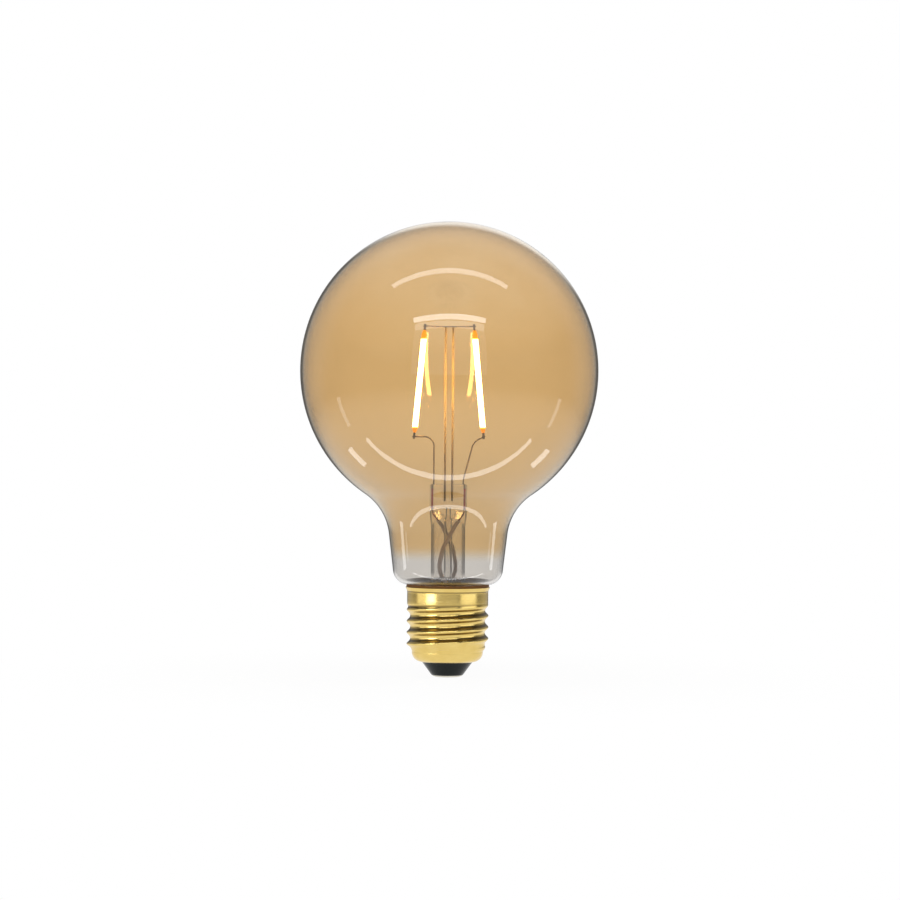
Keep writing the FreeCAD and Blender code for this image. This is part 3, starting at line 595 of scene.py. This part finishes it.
def shellRings(s, levels):
    rim = s["waist"] + s["bowl"]
    mean = s["crest"] - s["depth"] / 2
    bowl = arcPoints(s["waist"], s["threadFoot"], s["bowl"], 270, 360, levels["bowl"])
    rings = [roundRing(r, z) for r, z in bowl]

    def threadRing(z):
        low = smoothstep(0, s["runOut"], z - s["threadFoot"])
        high = smoothstep(0, s["runOut"], s["threadTop"] - z)
        middle = rim + (mean - rim) * low
        middle = s["collar"] + (middle - s["collar"]) * high
        turn = 2 * math.pi * (z - s["threadFoot"] - s["rise"]) / s["pitch"]

        def at(angle):
            wave = math.cos(turn - angle) + s["sharp"] * (math.cos(2 * (turn - angle)) - 1)
            radius = middle - s["inset"] + s["depth"] / 2 * low * high * wave
            return radius * math.cos(angle), radius * math.sin(angle), z
        return at

    span = s["threadTop"] - s["threadFoot"]
    rings += [threadRing(s["threadFoot"] + span * k / levels["thread"])
              for k in range(1, levels["thread"] + 1)]
    bendZ = s["collarTop"] - s["lipBend"]
    rings += [roundRing(s["collar"], s["threadTop"] + (bendZ - s["threadTop"]) * k / levels["collar"])
              for k in range(1, levels["collar"] + 1)]
    for k in range(1, levels["lip"] + 1):  # the lip turns out in one soft bend
        share = k / levels["lip"]
        bend = share * share * (1 + s["curl"] - s["curl"] * share)
        rings.append(roundRing(s["collar"] + s["flare"] * bend, bendZ + (s["lipTop"] - bendZ) * share))
    return rings


shell = ringTube("screwShell", shellRings(shellSizes, shellLevels), shellSizes["round"])
bpy.ops.object.select_all(action="DESELECT")
shell.select_set(True)
bpy.context.view_layer.objects.active = shell
for polygon in shell.data.polygons:  # the two flat ends come off, and the sheet gets its wall
    polygon.select = len(polygon.vertices) > 4
for vertex in shell.data.vertices:
    vertex.select = False
for edge in shell.data.edges:
    edge.select = False
bpy.ops.object.mode_set(mode="EDIT")
bpy.ops.mesh.select_mode(type="FACE")
bpy.ops.mesh.delete(type="ONLY_FACE")
bpy.ops.object.mode_set(mode="OBJECT")
applyModifier(shell, "SOLIDIFY", {"thickness": shellSizes["wall"] * mm, "offset": -1.0,
                                  "use_even_offset": False})
finishPiece(shell, "screw_shell", capBrass, shellSizes["smoothDeg"])

# Insulator: a cast cone with a flange in the bowl, its edges rounded by the mould
insulatorSizes = {"waist": 8.2, "footZ": 0.6, "floorZ": 7.2, "hole": 1.3, "wall": 0.3, "bowl": 3.15,
                  "bowlTop": 8.0, "footEdge": [(4.75, 0.6), (4.98, 0.64), (5.12, 0.76)],
                  "coneTop": (7.86, 4.5), "coneLevels": 6,
                  "brimEdge": [(7.98, 4.66), (8.1, 4.78), (8.2, 4.85)], "flangeLevels": 12, "steps": 112,
                  "smoothDeg": 35}
bowlIn = insulatorSizes["bowl"] - insulatorSizes["wall"]
flangeDeg = -math.degrees(math.asin((insulatorSizes["bowlTop"] - insulatorSizes["floorZ"]) / bowlIn))
insulatorOutline = [(insulatorSizes["hole"], insulatorSizes["footZ"])] + insulatorSizes["footEdge"]
insulatorOutline += linePoints(insulatorOutline[-1], insulatorSizes["coneTop"],
                               insulatorSizes["coneLevels"])
insulatorOutline += insulatorSizes["brimEdge"]
insulatorOutline += arcPoints(insulatorSizes["waist"], insulatorSizes["bowlTop"], bowlIn, 270,
                              360 + flangeDeg, insulatorSizes["flangeLevels"])
insulatorOutline += [(insulatorSizes["hole"], insulatorSizes[level]) for level in ("floorZ", "footZ")]
insulator = spinOutline("capInsulator", insulatorOutline, insulatorSizes["steps"], True)
finishPiece(insulator, "cap_insulator", blackGlass, insulatorSizes["smoothDeg"])

# Centre contact: a soldered rivet, low and slightly domed, with its hollow shank in the insulator
contactSizes = {"face": [(0.0, 0.0), (1.5, 0.0), (3.0, 0.0), (3.5, 0.04), (3.95, 0.12), (4.35, 0.24),
                         (4.62, 0.38), (4.76, 0.5), (4.8, 0.6), (4.7, 0.6)],
                "shank": [(1.3, 0.6), (1.3, 6.0), (0.3, 6.0), (0.3, 0.62), (0.0, 0.6)], "steps": 96,
                "smoothDeg": 35}
contactOutline = contactSizes["face"] + contactSizes["shank"]
contact = spinOutline("centreContact", contactOutline, contactSizes["steps"], False)
finishPiece(contact, "centre_contact", tinnedMetal, contactSizes["smoothDeg"])

# Capping cement: fills the gap between glass and collar, with a bead between the lip and the shoulder
cementSizes = {"outside": [(12.16, 23.9), (12.62, 23.9), (12.62, 25.6), (12.62, 27.4)],
               "bead": [(12.74, 27.75), (12.88, 28.05), (13.08, 28.45), (13.14, 28.7), (13.18, 28.95),
                        (13.18, 29.2), (13.14, 29.44), (12.95, 29.46), (12.78, 29.36), (12.55, 29.1),
                        (12.3, 28.7)],
               "inside": [(12.16, 28.2), (12.16, 26.0), (12.16, 23.9)], "steps": 112, "smoothDeg": 40}
cementOutline = cementSizes["outside"] + cementSizes["bead"] + cementSizes["inside"]
cement = spinOutline("cappingCement", cementOutline, cementSizes["steps"], True)
finishPiece(cement, "capping_cement", plain["baked_resin_cement"], cementSizes["smoothDeg"])

# CAD nodes that keep their shape
sides = ("left", "right")
dressNode(["filament_" + s for s in sides], phosphor)
dressNode([level + "_terminal_" + s for level in ("upper", "lower") for s in sides], nickelWire)
dressNode(["inner_lead_" + s for s in sides] + ["cross_wire"], nickelWire)
dressNode(["support_rod_" + s for s in sides], blastedRod)
dressNode(["seal_wire_" + s for s in sides], plain["red_oxide_copper_clad_wire"])
dressNode(["outer_lead_" + s for s in sides] + ["shell_lead"], plain["bare_copper_wire"])
dressNode(["lead_sleeve_" + s for s in sides], clearSleeve)
dressNode(["driver_board"], plain["green_lacquered_board"])
dressNode(["bridge_rectifier", "driver_chip"], plain["moulded_black_epoxy"])
dressNode(["smoothing_capacitor"], plain["drawn_aluminium_can"])
dressNode(["fusible_resistor"], plain["resistor_lacquer"])
print("pieces dressed")


# Studio: pale floor, white surround, soft lamps

roomLook = {"front": 0.14, "side": 0.40, "back": 1.0, "fill": 0.55, "sideFrom": (0.15, 0.55),
            "flagFrom": (0.89, 0.94), "patchAt": (0.06, 0.94, 0.335), "patchEdge": (0.96, 0.994)}


def mirroredRoom(tree, heading):  # dim in front, brighter side walls, and dark flags beside the backdrop
    depthway = addNode(tree, "SeparateXYZ", links={0: heading}).outputs["Y"]
    wall = addNode(tree, "MapRange", {**softStep, **between(roomLook["sideFrom"]),
                                      **towards((roomLook["front"], roomLook["side"]))}, {0: depthway})
    flag = addNode(tree, "MapRange", {**softStep, **between(roomLook["flagFrom"])}, {0: depthway})
    return addNode(tree, "Mix", {**numberMix, 3: roomLook["front"]},
                   {0: flag.outputs[0], 2: wall.outputs[0]})


# Studio paper: matt white card. It shows as plain white, keeps the lamp's shadow, and fades into the room
# where it is mirrored. Distances from the lamp are in metres.
floorLook = {"size": 6.0, "drop": 0.0003, "colour": "#F4F4F4", "paper": 1.0, "shadow": (0.02, 0.16),
             "paperShare": (0.95, 1.0), "nearGlow": 1.0, "nearFade": (0.50, 0.06)}
bpy.ops.object.select_all(action="DESELECT")
bpy.ops.mesh.primitive_plane_add(size=floorLook["size"], location=(0, 0, -floorLook["drop"]))
floor = bpy.context.object
floor.name = "studioFloor"
paper = bpy.data.materials.new("white_studio_paper")
paper.use_nodes = True
tree = paper.node_tree
tree.nodes.clear()
path = addNode(tree, "LightPath")
seen = addNode(tree, "Math", {"operation": "MAXIMUM"}, {0: path.outputs["Is Camera Ray"],
                                                        1: path.outputs["Is Transmission Ray"]})
spot = addNode(tree, "TexCoord").outputs["Object"]
away = addNode(tree, "VectorMath", {"operation": "LENGTH"}, {0: spot})
clean = addNode(tree, "MapRange", {**softStep, **between(floorLook["shadow"]),
                                   **towards(floorLook["paperShare"])},
                {0: away.outputs["Value"]})  # the shadow stays near the lamp
share = addNode(tree, "Math", {"operation": "MULTIPLY"}, {0: seen.outputs[0], 1: clean.outputs[0]})
matt = addNode(tree, "BsdfDiffuse", {"Color": toLinear(floorLook["colour"])})
white = addNode(tree, "Emission", {"Strength": floorLook["paper"]})
both = addNode(tree, "MixShader", links={0: share.outputs[0], 1: matt.outputs[0], 2: white.outputs[0]})
mirrored = addNode(tree, "Math", {"operation": "GREATER_THAN", 1: 0.5}, {0: path.outputs["Glossy Depth"]})
outward = addNode(tree, "VectorMath", {"operation": "NORMALIZE"}, {0: spot})
farGlow = mirroredRoom(tree, outward.outputs[0])
near = addNode(tree, "MapRange", {**softStep, **between(floorLook["nearFade"])}, {0: away.outputs["Value"]})
falling = addNode(tree, "Mix", {**numberMix, 3: floorLook["nearGlow"]},
                  {0: near.outputs[0], 2: farGlow.outputs[0]})
dim = addNode(tree, "Emission", links={"Strength": falling.outputs[0]})
ends = addNode(tree, "MixShader", links={0: mirrored.outputs[0], 1: both.outputs[0], 2: dim.outputs[0]})
addNode(tree, "OutputMaterial", links={"Surface": ends.outputs[0]})
floor.data.materials.append(paper)

# Room: white to the eye and through glass, dimmer where it is mirrored, with one white patch of backdrop
world = bpy.data.worlds.new("studioRoom")
scene.world = world
world.use_nodes = True
tree = world.node_tree
tree.nodes.clear()
path = addNode(tree, "LightPath")
seen = addNode(tree, "Math", {"operation": "MAXIMUM"}, {0: path.outputs["Is Camera Ray"],
                                                        1: path.outputs["Is Transmission Ray"]})
straight = addNode(tree, "Math", {"operation": "LESS_THAN", 1: 0.5}, {0: path.outputs["Glossy Depth"]})
clearView = addNode(tree, "Math", {"operation": "MULTIPLY"}, {0: seen.outputs[0], 1: straight.outputs[0]})
heading = addNode(tree, "TexCoord")
turn = addNode(tree, "VectorMath", {"operation": "DOT_PRODUCT", 1: roomLook["patchAt"]},
               {0: heading.outputs["Generated"]})
flanks = mirroredRoom(tree, heading.outputs["Generated"])
lobe = addNode(tree, "MapRange", {**softStep, **between(roomLook["patchEdge"])}, {0: turn.outputs["Value"]})
behind = addNode(tree, "Mix", {**numberMix, 3: roomLook["back"]},
                 {0: lobe.outputs[0], 2: flanks.outputs[0]})
room = addNode(tree, "Mix", {**numberMix, 3: roomLook["fill"]},
               {0: path.outputs["Is Diffuse Ray"], 2: behind.outputs[0]})
level = addNode(tree, "Mix", {**numberMix, 3: 1.0}, {0: clearView.outputs[0], 2: room.outputs[0]})
sky = addNode(tree, "Background", {"Color": (1, 1, 1, 1)}, {"Strength": level.outputs[0]})
addNode(tree, "OutputWorld", links={"Surface": sky.outputs[0]})

capPieces = bpy.data.collections.new("capPieces")  # boxes and a card light these alone
globePieces = bpy.data.collections.new("globePieces")  # the low strip and the glints light this alone
for piece in (shell, insulator, contact):
    capPieces.objects.link(piece)
globePieces.objects.link(globe)
lampAim = Vector((0, 0, 0.09))  # a point in the globe that all lamps face
lamps = {  # place and size in metres, glow as radiance, and what the lamp lights if not everything
    "overheadStrip": {"at": (0, -0.19, 1.10), "size": (1.38, 0.09), "glow": 4.5},
    "lowStrip": {"at": (0, -0.032, 0.001), "size": (0.230, 0.009), "glow": 4.8, "only": globePieces},
    "leftBox": {"at": (-0.223, -0.201, 0.06), "size": (0.135, 0.118), "glow": 6.0, "only": capPieces},
    "leftSkirt": {"at": (-0.295, -0.052, 0.06), "size": (0.16, 0.118), "glow": 1.2, "only": capPieces},
    "rightBox": {"at": (0.265, -0.141, 0.06), "size": (0.28, 0.118), "glow": 1.4, "only": capPieces},
    "frontCard": {"at": (0, -0.30, 0.06), "size": (0.34, 0.118), "glow": 0.10, "only": capPieces},
    "frontBar": {"at": (0, -0.78, 0.735), "size": (0.95, 0.08), "glow": 8.0},
    "frontBarSkirt": {"at": (0, -0.84, 0.65), "size": (0.92, 0.10), "glow": 2.2},
    "frontWall": {"at": (0, -1.30, 0.10), "size": (1.40, 1.9), "glow": 0.6},
    "leftGlint": {"at": (-0.17, -0.01, 0.03), "size": (0.011, 0.05), "glow": 1.6, "only": globePieces},
    "rightGlint": {"at": (0.17, -0.01, 0.03), "size": (0.011, 0.05), "glow": 1.6, "only": globePieces},
    "leftNeckGlint": {"at": (-0.07, 0.0, 0.031), "size": (0.010, 0.018), "glow": 3.6, "only": globePieces},
    "rightNeckGlint": {"at": (0.07, 0.0, 0.031), "size": (0.010, 0.018), "glow": 3.6, "only": globePieces},
}
for name, lamp in lamps.items():
    data = bpy.data.lights.new(name, "AREA")
    data.shape = "RECTANGLE"
    data.size, data.size_y = lamp["size"]
    data.energy = lamp["glow"] * math.pi * data.size * data.size_y
    light = bpy.data.objects.new(name, data)
    scene.collection.objects.link(light)
    light.location = lamp["at"]
    light.rotation_euler = (Vector(lamp["at"]) - lampAim).to_track_quat("Z", "Y").to_euler()
    light.visible_camera = False
    light.visible_transmission = False
    if "only" in lamp:
        light.light_linking.receiver_collection = lamp["only"]
print("studio lit")

# Camera: level, in front, square picture 287 mm wide at the lamp's axis
cameraLook = {"at": (0.0004, -0.950, 0.0723), "lens": 119.2, "sensor": 36.0, "rollDeg": -0.41}
cameraData = bpy.data.cameras.new("camera")
cameraData.sensor_width = cameraLook["sensor"]
cameraData.lens = cameraLook["lens"]
camera = bpy.data.objects.new("camera", cameraData)
scene.collection.objects.link(camera)
camera.location = cameraLook["at"]
camera.rotation_euler = (math.radians(90), math.radians(cameraLook["rollDeg"]), 0)
scene.camera = camera
print("camera set")
